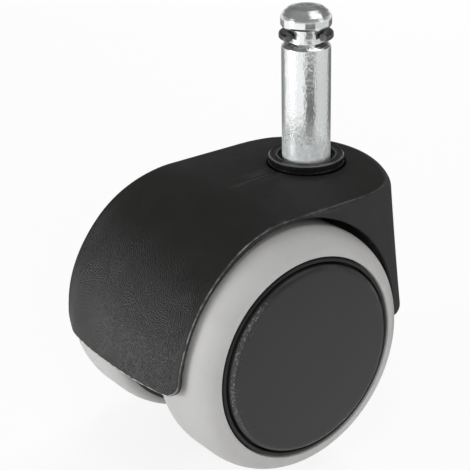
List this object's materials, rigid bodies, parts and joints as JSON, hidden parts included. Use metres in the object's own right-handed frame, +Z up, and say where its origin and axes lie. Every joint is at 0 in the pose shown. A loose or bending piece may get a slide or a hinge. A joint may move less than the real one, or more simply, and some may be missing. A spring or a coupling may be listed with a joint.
{
  "type": "twin-wheel swivel caster",
  "caption": "Hooded swivel caster with soft-tread wheels on a trailing axle and a grip-ring stem that plugs into a chair leg's socket.",
  "frame": {"origin": "on the swivel axis, level with the collar's top face, where the chair's socket ends", "axes": "+Z up the stem, +X forward with the axle trailing behind at -X, +Y to the left along the axle"},
  "size_m": [0.0651, 0.0516, 0.0852],
  "materials": {
    "zinc_steel": "bright zinc plate with fine turning marks",
    "spring_steel": "dark oiled spring steel",
    "hood_plastic": "black nylon with a fine moulded leather grain",
    "bush_plastic": "smooth black bearing plastic",
    "wheel_plastic": "plain black nylon",
    "cap_plastic": "smooth satin charcoal",
    "grey_tyre": "soft grey elastomer, smooth and matt"
  },
  "bodies": {
    "stem": {"stem_pin": "zinc_steel", "grip_ring": "spring_steel", "thrust_washer": "zinc_steel", "stem_retaining_ring": "spring_steel"},
    "hood": {"hood": "hood_plastic", "stem_bush": "bush_plastic", "axle": "zinc_steel", "inner_washer_left": "zinc_steel", "inner_washer_right": "zinc_steel", "outer_washer_left": "zinc_steel", "outer_washer_right": "zinc_steel", "axle_clip_left": "spring_steel", "axle_clip_right": "spring_steel"},
    "wheel_left": {"tread_left": "grey_tyre", "wheel_core_left": "wheel_plastic", "wheel_cap_left": "cap_plastic", "hub_bush_left": "bush_plastic"},
    "wheel_right": {"tread_right": "grey_tyre", "wheel_core_right": "wheel_plastic", "wheel_cap_right": "cap_plastic", "hub_bush_right": "bush_plastic"}
  },
  "joints": [
    {"name": "swivel", "type": "hinge", "parent": "stem", "child": "hood", "pos_m": [0, 0, 0], "axis": [0, 0, 1], "continuous": true},
    {"name": "wheel_left_roll", "type": "hinge", "parent": "hood", "child": "wheel_left", "pos_m": [-0.02, 0, -0.0297], "axis": [0, 1, 0], "continuous": true},
    {"name": "wheel_right_roll", "type": "hinge", "parent": "hood", "child": "wheel_right", "pos_m": [-0.02, 0, -0.0297], "axis": [0, 1, 0], "continuous": true}
  ]
}
